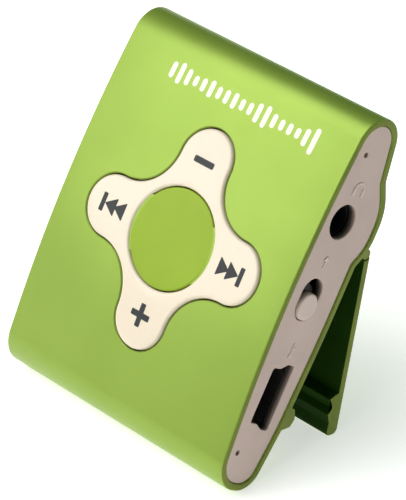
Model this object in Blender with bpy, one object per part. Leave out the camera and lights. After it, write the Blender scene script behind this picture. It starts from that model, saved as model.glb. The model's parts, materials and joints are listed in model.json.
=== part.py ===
"""Clip-on digital audio player: aluminium sleeve, two end caps, four-way key and a hinged clip.

The model is drawn in the player's own axes, in millimetres: x to the right, y from the front
face to the back, z up the body, with the origin at the middle of the round button. A parent
empty then leans it back until it stands on its bottom edge and on the tip of the open clip.
"""
import math

import bmesh
import bpy
from mathutils import Matrix, Vector

for thing in list(bpy.data.objects):
    bpy.data.objects.remove(thing, do_unlink=True)

# ---- driving dimensions, in millimetres and degrees ----

MM = 0.001                      # one millimetre in scene units
CHORD_ERROR = 0.012             # how far a facet may leave its arc
GAP = 0.1                       # air between pieces that rest on each other

HALF_WIDTH = 17.85              # half the length of the sleeve
WALL = 0.85                     # sleeve wall
TOP_Z = 22.75
BOTTOM_Z = -22.7
FACE_RADIUS = 155.0             # the front face is a shallow arc
FACE_APEX_Z = 1.0
FACE_HALF_ANGLE = 6.6
BACK_Y = 10.05                  # flat back behind the clip
HUMP_Y = 11.35                  # furthest point of the hinge hump
RIB_END_X = 15.8                # the hinge rib stops here, clear of the end caps

HINGE_Y = 11.1
HINGE_Z = 7.3
KNUCKLE_RADIUS = 0.7
PIN_RADIUS = 0.32
PIN_HOLE_RADIUS = 0.42
GROOVE_RADIUS = 0.85
SPRING_BAY_RADIUS = 1.02
RIB_RADIUS = 1.5
KNUCKLE_INNER_X = 6.0           # the clip's knuckles run from here
KNUCKLE_OUTER_X = 12.7          # to here, on both sides
KNUCKLE_PLAY = 0.12
SPRING_WIRE = 0.14              # half the wire's width
SPRING_COIL = 0.66              # from the pin's middle to the wire's middle
SPRING_TURNS = 4
SPRING_PITCH = 0.46
SPRING_INNER_X = 3.0
SPRING_FOOT = (11.03, 5.9)      # stays clear of the sleeve when the clip is shut

CLIP_ANGLE = 20.9               # clip plate to the z axis, as it stands open
CLIP_THICKNESS = 0.95
CLIP_LENGTH = 23.2              # from the hinge axis to the tip
CLIP_TIP_RADIUS = 0.55

LOBE_DISTANCE = 9.75            # middle of each round lobe of the four-way key
LOBE_RADIUS = 3.7
WAIST_RADIUS = 7.68             # key outline on the diagonal
BUTTON_RADIUS = 5.95
BUTTON_HOLE_RADIUS = 6.1
KEY_PLAY = 0.18
KEY_PROUD = 0.22

CAP_INNER_X = 16.75
CAP_OUTER_X = 17.7
CAP_SKIRT_X = 15.95
CAP_PLAY = 0.1
CAP_SKIRT = 0.5

JACK_Y = 4.4
JACK_Z = 10.25
JACK_HOLE_RADIUS = 2.08
JACK_BORE_RADIUS = 1.8
SWITCH_Y = 4.35
SWITCH_REST_Z = -0.05
SWITCH_TRAVEL = 1.65
KNOB_RADIUS = 1.62
SLOT_RADIUS = 1.74
USB_Z = -11.1
USB_FRONT_Y = 3.4
USB_BACK_Y = 6.95
USB_NARROW = 6.8
USB_WIDE = 8.0
DIMPLE_Z = 18.2
DIMPLE_RADIUS = 0.33

BOARD_FRONT_Y = 4.6
BOARD_BACK_Y = 5.4
BOARD_RIGHT_X = 15.5
BOARD_LEFT_X = -16.0
BOARD_HALF_Z = 20.0
SCREW_X = 13.3
SCREW_Z = 17.6
TACT_DISTANCE = 9.5             # from the middle to each outer tact switch
TACT_SIZE = 3.5


# ---- outlines ----

def arc_steps(radius, angle):
    """Number of chords that keep an arc within CHORD_ERROR."""
    step = 2 * math.acos(1 - CHORD_ERROR / max(radius, 4 * CHORD_ERROR))
    return max(1, math.ceil(abs(angle) / step))


def arc(centre, radius, start, end):
    """Points from one angle to another, in degrees, both ends included."""
    sweep = math.radians(end - start)
    steps = arc_steps(radius, sweep)
    angles = [math.radians(start) + sweep * i / steps for i in range(steps + 1)]
    return [Vector((centre[0] + radius * math.cos(a), centre[1] + radius * math.sin(a))) for a in angles]


def circle(centre, radius):
    return arc(centre, radius, 0, 360)[:-1]


def rounded_outline(corners, inset=0.0):
    """Round each (u, v, radius) corner and move the whole outline inwards by inset."""
    points = [Vector((u, v)) for u, v, radius in corners]
    following = points[1:] + points[:1]
    area = sum(a.x * b.y - b.x * a.y for a, b in zip(points, following))
    side = math.copysign(1.0, area)
    edges = []
    for a, b in zip(points, following):
        along = (b - a).normalized()
        inward = Vector((-along.y, along.x)) * side
        edges.append((a + inward * inset, along))
    outline = []
    for i, (u, v, radius) in enumerate(corners):
        start_a, along_a = edges[i - 1]
        start_b, along_b = edges[i]
        cross = along_a.x * along_b.y - along_a.y * along_b.x
        offset = start_b - start_a
        reach = (offset.x * along_b.y - offset.y * along_b.x) / cross
        corner = start_a + along_a * reach
        turn = math.atan2(cross, along_a.dot(along_b))
        bend = radius - inset if turn * side > 0 else radius + inset
        if radius == 0 or bend < 0.02:
            outline.append(corner)
            continue
        first = corner - along_a * bend * math.tan(abs(turn) / 2)
        centre = first + Vector((-along_a.y, along_a.x)) * math.copysign(bend, turn)
        steps = arc_steps(bend, turn)
        for k in range(steps + 1):
            swing = Matrix.Rotation(turn * k / steps, 2)
            outline.append(centre + swing @ (first - centre))
    return outline


def box_outline(u0, u1, v0, v1, radius=0.0):
    return rounded_outline([(u0, v0, radius), (u1, v0, radius), (u1, v1, radius), (u0, v1, radius)])


def slope_point(y, z, degrees, new_z):
    """The point at height new_z on a line through (y, z) that leans back by degrees."""
    return y + (new_z - z) * math.tan(math.radians(degrees)), new_z


def face_y(z, depth=0.0):
    """Depth of a surface lying depth under the front face, at height z."""
    radius = FACE_RADIUS - depth
    return FACE_RADIUS - math.sqrt(radius ** 2 - (z - FACE_APEX_Z) ** 2)


def sleeve_corners(with_ridge):
    """Corners of the sleeve's section, from the front face over the top and down the back."""
    apex = FACE_RADIUS * (1 - 1 / math.cos(math.radians(FACE_HALF_ANGLE)))
    top_front = slope_point(apex, FACE_APEX_Z, FACE_HALF_ANGLE, TOP_Z)
    bottom_front = slope_point(apex, FACE_APEX_Z, -FACE_HALF_ANGLE, BOTTOM_Z)
    notch = (9.0, 15.9)
    top_back = slope_point(*notch, -14.0, TOP_Z)
    hump_top_z = notch[1] - (HUMP_Y - notch[0]) / math.tan(math.radians(35))
    hump_low_z = 7.6
    flank_foot_z = hump_low_z - (HUMP_Y - BACK_Y) / math.tan(math.radians(33))
    taper_start = (9.5, -15.0)
    bottom_back = slope_point(*taper_start, 8.0, BOTTOM_Z)
    corners = [
        (apex, FACE_APEX_Z, FACE_RADIUS),
        (*top_front, 3.6),
        (*top_back, 3.25),
        (*notch, 0.8),
        (HUMP_Y, hump_top_z, 6.6),
        (HUMP_Y, hump_low_z, 6.0),
        (BACK_Y, flank_foot_z, 0.4),
        (BACK_Y + 0.04, -3.0, 90.0),
    ]
    if with_ridge:
        corners += [
            (9.74, -12.0, 0.1),
            (10.42, -12.1, 0.3),
            (11.1, -13.2, 0.45),
            (10.8, -14.3, 0.35),
            (9.52, -14.85, 0.25),
        ]
    else:
        corners += [(*taper_start, 30.0)]
    corners += [(*bottom_back, 3.0), (*bottom_front, 4.0)]
    return corners


def key_outline(grow=0.0):
    """Four round lobes joined by hollow arcs, in (x, z); grow moves it outwards."""
    lobe = LOBE_RADIUS
    # a hollow arc lies on the diagonal and touches both lobes beside it
    across = math.sqrt(2) * LOBE_DISTANCE
    rest = WAIST_RADIUS - lobe
    centre = (LOBE_DISTANCE ** 2 - rest ** 2) / (across - 2 * rest)
    hollow = centre - WAIST_RADIUS
    hub = centre / math.sqrt(2)
    lean = math.degrees(math.atan2(hub, hub - LOBE_DISTANCE))
    outline = []
    for quarter in range(4):
        turn = Matrix.Rotation(math.radians(90 * quarter), 2)
        tip = arc((LOBE_DISTANCE, 0), lobe + grow, -lean, lean)
        dip = arc((hub, hub), hollow - grow, lean + 180, 270 - lean)
        outline += [turn @ p for p in tip[:-1] + dip[:-1]]
    return outline


def clip_point(s, t):
    """A place on the clip: s down the plate from the hinge axis, t outwards from the axis."""
    lean = math.radians(CLIP_ANGLE)
    y = HINGE_Y + s * math.sin(lean) + t * math.cos(lean)
    z = HINGE_Z - s * math.cos(lean) + t * math.sin(lean)
    return y, z


def clip_outline():
    """Rolled top edge, flat plate and a thicker jaw with two teeth."""
    outer = KNUCKLE_RADIUS
    inner = outer - CLIP_THICKNESS
    jaw = [
        (0.0, outer, 0.0),
        (CLIP_LENGTH, outer, CLIP_TIP_RADIUS),
        (CLIP_LENGTH, -1.25, 0.5),
        (21.4, -1.12, 0.4),
        (20.15, -1.62, 0.12),
        (19.45, -1.05, 0.15),
        (18.2, -1.66, 0.12),
        (17.7, inner, 0.15),
        (math.sqrt(KNUCKLE_RADIUS ** 2 - inner ** 2), inner, 0.0),
    ]
    plate = rounded_outline(jaw)
    lip = math.degrees(math.asin(inner / KNUCKLE_RADIUS))
    roll = arc((0, 0), KNUCKLE_RADIUS, lip, -270)
    return [Vector(clip_point(p.x, p.y)) for p in plate[:-1] + roll[:-1]]


def usb_outline(grow=0.0):
    """Opening with one narrow and one wide side, joined by slanted shoulders, in (y, z)."""
    half_narrow = USB_NARROW / 2
    half_wide = USB_WIDE / 2
    shoulder_y = USB_FRONT_Y + 1.25
    wide_y = USB_FRONT_Y + 2.35
    corners = [
        (USB_FRONT_Y, USB_Z - half_narrow, 0.35),
        (shoulder_y, USB_Z - half_narrow, 0.4),
        (wide_y, USB_Z - half_wide, 0.4),
        (USB_BACK_Y, USB_Z - half_wide, 0.35),
        (USB_BACK_Y, USB_Z + half_wide, 0.35),
        (wide_y, USB_Z + half_wide, 0.4),
        (shoulder_y, USB_Z + half_narrow, 0.4),
        (USB_FRONT_Y, USB_Z + half_narrow, 0.35),
    ]
    return rounded_outline(corners, -grow)


# ---- solids ----

def make_object(name, mesh_builder):
    """Finish a bmesh as a named object with outward faces."""
    bmesh.ops.remove_doubles(mesh_builder, verts=mesh_builder.verts, dist=1e-7)
    bmesh.ops.recalc_face_normals(mesh_builder, faces=mesh_builder.faces)
    if mesh_builder.calc_volume(signed=True) < 0:
        bmesh.ops.reverse_faces(mesh_builder, faces=mesh_builder.faces)
    mesh = bpy.data.meshes.new(name)
    mesh_builder.to_mesh(mesh)
    mesh_builder.free()
    thing = bpy.data.objects.new(name, mesh)
    bpy.context.collection.objects.link(thing)
    return thing


def extrude(name, outline, axis, low, high):
    """Extrude a closed (u, v) outline along x, y or z between two positions."""
    order = {"X": (2, 0, 1), "Y": (0, 2, 1), "Z": (0, 1, 2)}[axis]
    builder = bmesh.new()
    rings = []
    for level in (low, high):
        ring = []
        for point in outline:
            values = (point[0], point[1], level)
            ring.append(builder.verts.new([values[i] * MM for i in order]))
        rings.append(ring)
    count = len(outline)
    for i in range(count):
        j = (i + 1) % count
        builder.faces.new((rings[0][i], rings[0][j], rings[1][j], rings[1][i]))
    caps = [builder.faces.new(rings[0]), builder.faces.new(rings[1])]
    builder.normal_update()
    bmesh.ops.triangulate(builder, faces=caps)
    return make_object(name, builder)


def block(name, low, high, bevel=0.0):
    """A box between two corners with an optional bevel on every edge."""
    builder = bmesh.new()
    bmesh.ops.create_cube(builder, size=1.0)
    size = [(b - a) * MM for a, b in zip(low, high)]
    middle = [(a + b) / 2 * MM for a, b in zip(low, high)]
    bmesh.ops.transform(builder, matrix=Matrix.Diagonal((*size, 1)), verts=builder.verts)
    bmesh.ops.translate(builder, vec=middle, verts=builder.verts)
    if bevel:
        bmesh.ops.bevel(builder, geom=builder.edges[:], offset=bevel * MM, segments=1, affect="EDGES")
    return make_object(name, builder)


def rod(name, axis, centre, radius, low, high):
    """A round bar along x or y through the (u, v) point centre."""
    return extrude(name, circle(centre, radius), axis, low, high)


def turned(name, profile, centre_x, centre_z, sides=40):
    """Turn an (r, y) profile, from axis to axis, about a line along y."""
    builder = bmesh.new()
    rings = []
    for r, y in profile:
        angles = [2 * math.pi * k / sides for k in range(sides)] if r > 0 else [0.0]
        ring = []
        for a in angles:
            place = (centre_x + r * math.cos(a), y, centre_z + r * math.sin(a))
            ring.append(builder.verts.new([c * MM for c in place]))
        rings.append(ring)
    for near, far in zip(rings, rings[1:]):
        for k in range(sides):
            a, b = near[k % len(near)], near[(k + 1) % len(near)]
            c, d = far[(k + 1) % len(far)], far[k % len(far)]
            corners = []
            for vertex in (a, b, c, d):
                if vertex not in corners:
                    corners.append(vertex)
            builder.faces.new(corners)
    return make_object(name, builder)


def boolean(base, tool, operation):
    """Apply one exact boolean to base and delete the tool."""
    modifier = base.modifiers.new("boolean", "BOOLEAN")
    modifier.operation = operation
    modifier.solver = "EXACT"
    modifier.object = tool
    evaluated = base.evaluated_get(bpy.context.evaluated_depsgraph_get())
    mesh = bpy.data.meshes.new_from_object(evaluated)
    base.modifiers.clear()
    base.data = mesh
    bpy.data.objects.remove(tool, do_unlink=True)
    return base


def cut(base, *tools):
    for tool in tools:
        boolean(base, tool, "DIFFERENCE")
    return base


def add(base, *tools):
    for tool in tools:
        boolean(base, tool, "UNION")
    return base


def face_slab(name, depth_low, depth_high, reach=15.5):
    """A curved plate that follows the front face between two depths under it."""
    steps = 16
    heights = [FACE_APEX_Z + reach * (2 * k / steps - 1) for k in range(steps + 1)]
    front = [Vector((face_y(z, depth_low), z)) for z in heights]
    back = [Vector((face_y(z, depth_high), z)) for z in reversed(heights)]
    return extrude(name, front + back, "X", -reach, reach)


# ---- materials ----

def material(name, rgb, roughness, metallic=0.0):
    """A Principled BSDF from display colours 0 to 255."""
    linear = []
    for value in rgb:
        share = value / 255
        linear.append(share / 12.92 if share <= 0.04045 else ((share + 0.055) / 1.055) ** 2.4)
    made = bpy.data.materials.new(name)
    made.use_nodes = True
    shader = made.node_tree.nodes["Principled BSDF"]
    shader.inputs["Base Color"].default_value = (*linear, 1.0)
    shader.inputs["Roughness"].default_value = roughness
    shader.inputs["Metallic"].default_value = metallic
    made.diffuse_color = (*linear, 1.0)
    return made


GREEN_METAL = material("green_anodised", (168, 195, 81), 0.42, 0.6)
GREEN_PLASTIC = material("green_plastic", (165, 195, 60), 0.5)
WHITE_GLOSS = material("white_gloss", (253, 240, 225), 0.25)
GREY_PLASTIC = material("grey_plastic", (176, 165, 156), 0.6)
BLACK_PLASTIC = material("black_plastic", (24, 24, 26), 0.5)
STEEL = material("steel", (190, 190, 188), 0.3, 1.0)
BRASS = material("gold_contact", (205, 170, 90), 0.3, 1.0)
SILICONE = material("silicone", (205, 205, 200), 0.7)
BOARD_GREEN = material("board_green", (30, 92, 58), 0.45)
FRAME_PLASTIC = material("frame_plastic", (60, 62, 64), 0.6)
FOIL = material("battery_foil", (200, 204, 208), 0.35, 0.8)
TAPE = material("tape", (215, 190, 110), 0.7)
RED_WIRE = material("red_wire", (190, 30, 26), 0.5)
BLACK_WIRE = material("black_wire", (20, 20, 20), 0.5)


# ---- placing ----

def lean_angle():
    """Lean, in degrees, at which the bottom edge and the clip tip touch the ground together."""
    edge_radius = 3.0
    bottom = sleeve_corners(True)[-2]
    taper = math.radians(8.0)
    reach = edge_radius * math.tan((math.pi / 2 - taper) / 2)
    edge_centre = Vector((bottom[0] - reach, BOTTOM_Z + edge_radius))
    tip_centre = Vector(clip_point(CLIP_LENGTH - CLIP_TIP_RADIUS, KNUCKLE_RADIUS - CLIP_TIP_RADIUS))
    span = tip_centre - edge_centre
    climb = math.atan2(span.y, span.x)
    return math.degrees(climb + math.asin((edge_radius - CLIP_TIP_RADIUS) / span.length))


def empty(name, place, parent=None):
    made = bpy.data.objects.new(name, None)
    made.empty_display_size = 4 * MM
    made.location = [c * MM for c in place]
    made.parent = parent
    bpy.context.collection.objects.link(made)
    return made


STAND = empty("stand", (0, 0, 0))
CLIP_AXIS = empty("clip_axis", (0, HINGE_Y, HINGE_Z), STAND)
BUTTON_AXIS = empty("button_axis", (0, 0, 0), STAND)
KEY_AXIS = empty("key_axis", (0, 1.6, 0), STAND)
SWITCH_AXIS = empty("switch_axis", (HALF_WIDTH, SWITCH_Y, SWITCH_REST_Z), STAND)


def finish(thing, name, finish_material, parent=None):
    """Name a piece, give it its material and hang it on its parent empty."""
    parent = parent or STAND
    thing.name = name
    thing.data.name = name
    thing.data.materials.clear()
    thing.data.materials.append(finish_material)
    if thing.type == "MESH":
        if parent is not STAND:
            thing.data.transform(Matrix.Translation(-parent.location))
        thing.data.shade_smooth()
        thing.data.set_sharp_from_angle(angle=math.radians(32))
    thing.parent = parent
    return thing


# ---- outer pieces ----

def hinge_rod(name, radius, low, high):
    return rod(name, "X", (HINGE_Y, HINGE_Z), radius, low, high)


def make_body_shell():
    """Extruded sleeve with the hinge hump, the back ridge and the key's cut-out."""
    shell = extrude("shell", rounded_outline(sleeve_corners(True)), "X", -HALF_WIDTH, HALF_WIDTH)
    past = HALF_WIDTH + 1
    cavity = extrude("cavity", rounded_outline(sleeve_corners(False), WALL), "X", -past, past)
    cut(cavity, hinge_rod("rib", RIB_RADIUS, -RIB_END_X, RIB_END_X))
    cut(shell, cavity)
    # the sleeve keeps a knuckle at each end and is milled away between them
    end_play = KNUCKLE_OUTER_X + KNUCKLE_PLAY
    add(shell, hinge_rod("right_knuckle", KNUCKLE_RADIUS, end_play - 0.3, HALF_WIDTH))
    add(shell, hinge_rod("left_knuckle", KNUCKLE_RADIUS, -HALF_WIDTH, 0.3 - end_play))
    cut(shell, hinge_rod("groove", GROOVE_RADIUS, -end_play, end_play))
    bay = KNUCKLE_INNER_X - KNUCKLE_PLAY
    cut(shell, hinge_rod("spring_bay", SPRING_BAY_RADIUS, -bay, bay))
    cut(shell, hinge_rod("pin_hole", PIN_HOLE_RADIUS, -past, HALF_WIDTH - 1.0))
    cut(shell, extrude("key_window", key_outline(KEY_PLAY), "Y", -2, 3))
    return finish(shell, "body_shell", GREEN_METAL)


def make_end_cap(side):
    """Cap that closes one end: a plate with a short skirt that grips the sleeve."""
    plate = rounded_outline(sleeve_corners(False), WALL + CAP_PLAY)
    hollow = rounded_outline(sleeve_corners(False), WALL + CAP_PLAY + CAP_SKIRT)
    low, high = sorted((side * CAP_SKIRT_X, side * CAP_OUTER_X))
    cap = extrude("cap", plate, "X", low, high)
    low, high = sorted((side * (CAP_SKIRT_X - 1), side * CAP_INNER_X))
    cut(cap, extrude("hollow", hollow, "X", low, high))
    low, high = sorted((side * (CAP_OUTER_X - 0.3), side * (CAP_OUTER_X + 1)))
    for z in (-DIMPLE_Z, DIMPLE_Z):
        cut(cap, rod("dimple", "X", (3.4, z), DIMPLE_RADIUS, low, high))
    if side > 0:
        low, high = CAP_INNER_X - 1, CAP_OUTER_X + 1
        cut(cap, rod("jack_hole", "X", (JACK_Y, JACK_Z), JACK_HOLE_RADIUS, low, high))
        cut(cap, extrude("usb_hole", usb_outline(), "X", low, high))
        ends = (SWITCH_REST_Z, SWITCH_REST_Z + SWITCH_TRAVEL)
        slot = arc((SWITCH_Y, ends[0]), SLOT_RADIUS, 180, 360)
        slot += arc((SWITCH_Y, ends[1]), SLOT_RADIUS, 0, 180)
        cut(cap, extrude("switch_slot", slot, "X", low, high))
    return finish(cap, "end_cap_right" if side > 0 else "end_cap_left", GREY_PLASTIC)


def make_clip():
    """Clip plate with two knuckles rolled into its top edge."""
    clip = extrude("clip", clip_outline(), "X", -HALF_WIDTH, HALF_WIDTH)
    past = HALF_WIDTH + 1
    bay = KNUCKLE_INNER_X
    cut(clip, hinge_rod("right_gap", GROOVE_RADIUS, KNUCKLE_OUTER_X, past))
    cut(clip, hinge_rod("left_gap", GROOVE_RADIUS, -past, -KNUCKLE_OUTER_X))
    cut(clip, hinge_rod("spring_gap", SPRING_BAY_RADIUS, -bay, bay))
    cut(clip, hinge_rod("pin_hole", PIN_HOLE_RADIUS, -past, past))
    return finish(clip, "clip", GREEN_METAL, CLIP_AXIS)


def make_hinge_pin():
    pin = hinge_rod("pin", PIN_RADIUS, -HALF_WIDTH + 0.15, HALF_WIDTH - 1.15)
    return finish(pin, "hinge_pin", STEEL)


def spring_route():
    """Two coils round the pin, joined by a bridge that lies along the inside of the clip."""
    per_turn = 12
    start_angle = 264.0
    bridge_t = -0.62
    total = SPRING_TURNS * per_turn
    coil = []
    for k in range(total + 1):
        angle = math.radians(start_angle + 360.0 * k / per_turn)
        x = -SPRING_INNER_X - SPRING_PITCH * (total - k) / per_turn
        y = HINGE_Y + SPRING_COIL * math.cos(angle)
        coil.append((x, y, HINGE_Z + SPRING_COIL * math.sin(angle)))
    foot = [(coil[0][0] - 0.05, *SPRING_FOOT)]
    near = clip_point(1.6, bridge_t)
    far = clip_point(6.5, bridge_t)
    leg = [(-SPRING_INNER_X + 0.15, *near), (-SPRING_INNER_X + 0.35, *far)]
    half = foot + coil + leg
    return half + [(-x, y, z) for x, y, z in reversed(half)]


def tube(name, route, radius, bevel_resolution, tube_material, parent=None):
    """A wire along a list of points, drawn as a curve with filled ends."""
    curve = bpy.data.curves.new(name, "CURVE")
    curve.dimensions = "3D"
    curve.bevel_depth = radius * MM
    curve.bevel_resolution = bevel_resolution
    curve.use_fill_caps = True
    spline = curve.splines.new("POLY")
    spline.points.add(len(route) - 1)
    origin = parent.location if parent else Vector((0, 0, 0))
    for point, place in zip(spline.points, route):
        point.co = (*(Vector(place) * MM - origin), 1.0)
    wire = bpy.data.objects.new(name, curve)
    bpy.context.collection.objects.link(wire)
    return finish(wire, name, tube_material, parent)


# ---- key and button ----

def make_four_way_key():
    """White key: a curved top in the cut-out over a wider flange behind the wall."""
    key = extrude("key", key_outline(), "Y", -2, 4)
    boolean(key, face_slab("top", -KEY_PROUD, 1.5), "INTERSECT")
    flange = extrude("flange", key_outline(0.7), "Y", -2, 4)
    boolean(flange, face_slab("under", 1.35, 1.85), "INTERSECT")
    add(key, flange)
    cut(key, rod("button_hole", "Y", (0, 0), BUTTON_HOLE_RADIUS, -2, 4))
    return finish(key, "four_way_key", WHITE_GLOSS, KEY_AXIS)


def make_centre_button():
    """Round button with a retaining flange and a stem over the middle tact switch."""
    profile = [(0, -0.16), (BUTTON_RADIUS - 0.25, -0.12), (BUTTON_RADIUS, 0.1), (BUTTON_RADIUS, 2.3),
               (6.8, 2.3), (6.8, 2.65), (1.2, 2.65), (1.2, 3.4), (0, 3.4)]
    return finish(turned("button", profile, 0, 0, 60), "centre_button", GREEN_PLASTIC, BUTTON_AXIS)


def make_key_web():
    """Silicone web that carries the four-way key and its four pips."""
    web = extrude("web", key_outline(0.2), "Y", 2.9, 3.3)
    for x, z in lobe_places():
        add(web, rod("pip", "Y", (x, z), 1.0, 3.1, 3.45))
    cut(web, rod("hub_hole", "Y", (0, 0), 7.1, 2, 4))
    return finish(web, "key_web", SILICONE, KEY_AXIS)


def lobe_places():
    return [(TACT_DISTANCE, 0), (0, TACT_DISTANCE), (-TACT_DISTANCE, 0), (0, -TACT_DISTANCE)]


# ---- inside ----

def make_circuit_board():
    """Board with a notch for each connector and four screw holes."""
    edge = 0.6
    corners = [
        (BOARD_LEFT_X, -BOARD_HALF_Z, 2.0),
        (BOARD_RIGHT_X, -BOARD_HALF_Z, 2.0),
        (BOARD_RIGHT_X, USB_Z - 4.7, edge),
        (9.4, USB_Z - 4.7, edge),
        (9.4, USB_Z + 4.7, edge),
        (BOARD_RIGHT_X, USB_Z + 4.7, edge),
        (BOARD_RIGHT_X, 7.1, edge),
        (4.6, 7.1, edge),
        (4.6, 13.4, edge),
        (BOARD_RIGHT_X, 13.4, edge),
        (BOARD_RIGHT_X, BOARD_HALF_Z, 2.0),
        (BOARD_LEFT_X, BOARD_HALF_Z, 2.0),
    ]
    board = extrude("board", rounded_outline(corners), "Y", BOARD_FRONT_Y, BOARD_BACK_Y)
    for x in (-SCREW_X, SCREW_X):
        for z in (-SCREW_Z, SCREW_Z):
            cut(board, rod("screw_hole", "Y", (x, z), 0.6, 4, 6))
    return finish(board, "circuit_board", BOARD_GREEN)


def make_inner_frame():
    """Plastic frame behind the board, open on the side of the connectors."""
    side = 16.2
    top = 19.8
    corners = [
        (-side, -top, 1.5),
        (side, -top, 1.5),
        (side, -16.4, 0.5),
        (-15.1, -16.4, 0.5),
        (-15.1, 14.8, 0.5),
        (side, 14.8, 0.5),
        (side, top, 1.5),
        (-side, top, 1.5),
    ]
    frame = extrude("frame", rounded_outline(corners), "Y", BOARD_BACK_Y + GAP, 6.7)
    for x in (-SCREW_X, SCREW_X):
        for z in (-SCREW_Z, SCREW_Z):
            cut(frame, rod("screw_hole", "Y", (x, z), 0.55, 5, 7))
    return finish(frame, "inner_frame", FRAME_PLASTIC)


def make_board_screw(number, x, z):
    head_back = BOARD_FRONT_Y - GAP
    profile = [(0, head_back - 0.35), (0.8, head_back - 0.35), (0.95, head_back - 0.15),
               (0.95, head_back), (0.42, head_back), (0.42, 6.3), (0, 6.55)]
    return finish(turned("screw", profile, x, z, 16), "board_screw_%d" % number, STEEL)


def make_tact_switch(name, x, z):
    """Low square tact switch on the front of the board."""
    half = TACT_SIZE / 2
    base = block("tact", (x - half, 4.0, z - half), (x + half, BOARD_FRONT_Y - GAP, z + half), 0.12)
    add(base, rod("stud", "Y", (x, z), 0.9, 3.82, 4.2))
    return finish(base, "tact_switch_" + name, STEEL)


def make_jack():
    """Headphone socket: plastic housing with its bore, and three spring contacts."""
    housing = block("jack", (4.95, 2.1, 7.85), (16.55, 6.7, 12.65), 0.25)
    cut(housing, rod("bore", "X", (JACK_Y, JACK_Z), JACK_BORE_RADIUS, 6.2, 17.5))
    finish(housing, "jack_housing", BLACK_PLASTIC)
    for name, x, side in (("sleeve", 14.2, 1), ("ring", 10.4, -1), ("tip", 6.6, 1)):
        face = 12.65 if side > 0 else 7.85
        near = face + side * GAP
        far = near + side * 0.18
        foot = near + side * 1.4
        back = BOARD_BACK_Y + GAP
        corners = [(3.2, near, 0), (3.2, far, 0), (back, far, 0.1), (back, foot, 0),
                   (back + 0.18, foot, 0), (back + 0.18, near, 0.1)]
        strip = extrude("contact", rounded_outline(corners), "X", x, x + 1.2)
        finish(strip, "jack_contact_" + name, BRASS)


def make_usb():
    """Socket shell, its tongue and the five contacts on the tongue."""
    shell = extrude("usb", usb_outline(0.3), "X", 9.9, CAP_INNER_X - GAP)
    cut(shell, extrude("usb_inside", usb_outline(0.04), "X", 9, 18))
    finish(shell, "usb_shell", STEEL)
    tongue = extrude("tongue", usb_outline(-0.1), "X", 10.0, 11.6)
    add(tongue, block("blade", (11.3, 4.95, USB_Z - 2.3), (15.9, 5.65, USB_Z + 2.3)))
    finish(tongue, "usb_tongue", BLACK_PLASTIC)
    for number in range(5):
        z = USB_Z + 0.8 * (number - 2)
        strip = block("contact", (11.8, 4.72, z - 0.17), (15.6, 4.86, z + 0.17))
        finish(strip, "usb_contact_%d" % (number + 1), BRASS)


def make_power_switch():
    """Slide switch: case on the board, lever in the case and the knob in the cap's slot."""
    lever_low = SWITCH_REST_Z - 0.5
    lever_high = SWITCH_REST_Z + 0.5
    case = block("case", (11.6, BOARD_BACK_Y + GAP, -2.6), (14.9, 7.3, 4.2), 0.1)
    slot = block("slot", (14.0, 5.85, lever_low - 0.2), (16, 6.95, lever_high + SWITCH_TRAVEL + 0.2))
    cut(case, slot)
    finish(case, "switch_case", STEEL)
    lever = block("lever", (14.15, 6.0, lever_low), (15.7, 6.8, lever_high), 0.08)
    finish(lever, "switch_lever", BLACK_PLASTIC, SWITCH_AXIS)
    knob = rod("knob", "X", (SWITCH_Y, SWITCH_REST_Z), KNOB_RADIUS, 16.2, HALF_WIDTH + 0.2)
    plate = extrude("plate", box_outline(2.35, 6.85, -2.7, 2.6, 0.5), "X", 15.85, 16.5)
    add(knob, plate)
    finish(knob, "switch_knob", GREY_PLASTIC, SWITCH_AXIS)


def make_battery():
    """Flat pouch cell behind the board, its tape and its two leads."""
    cell = block("cell", (-14.7, 6.65, -14.4), (2.6, 8.5, 13.6), 0.45)
    finish(cell, "battery_cell", FOIL)
    tape = block("tape", (-12.6, 6.38, -9.5), (-3.4, 6.56, 5.5))
    finish(tape, "battery_tape", TAPE)
    for name, z, wire in (("red", 6.4, RED_WIRE), ("black", 5.2, BLACK_WIRE)):
        route = [(2.75, 7.6, z), (3.15, 7.6, z), (3.5, 7.45, z), (3.72, 7.1, z),
                 (3.8, 6.6, z), (3.8, 6.1, z), (3.8, 5.55, z)]
        tube("battery_lead_" + name, route, 0.27, 2, wire)


def make_chips():
    back = BOARD_BACK_Y + GAP
    controller = block("controller", (4.4, back, -2.8), (11.2, back + 1.0, 4.0), 0.08)
    finish(controller, "controller_chip", BLACK_PLASTIC)
    memory = block("memory", (-13.4, back, -10.5), (-2.6, back + 0.8, 6.5), 0.08)
    finish(memory, "memory_chip", BLACK_PLASTIC)
    crystal = block("crystal", (5.4, back, -6.4), (8.6, back + 0.7, -3.9), 0.15)
    finish(crystal, "crystal", STEEL)


# ---- assembly ----

def build():
    make_body_shell()
    make_end_cap(1)
    make_end_cap(-1)
    make_clip()
    make_hinge_pin()
    tube("clip_spring", spring_route(), SPRING_WIRE, 1, STEEL, CLIP_AXIS)
    make_four_way_key()
    make_centre_button()
    make_key_web()
    make_circuit_board()
    make_inner_frame()
    for number, (x, z) in enumerate(((-1, 1), (1, 1), (-1, -1), (1, -1)), 1):
        make_board_screw(number, x * SCREW_X, z * SCREW_Z)
    for name, (x, z) in zip(("right", "top", "left", "bottom"), lobe_places()):
        make_tact_switch(name, x, z)
    make_tact_switch("centre", 0, 0)
    make_jack()
    make_usb()
    make_power_switch()
    make_battery()
    make_chips()


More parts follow.
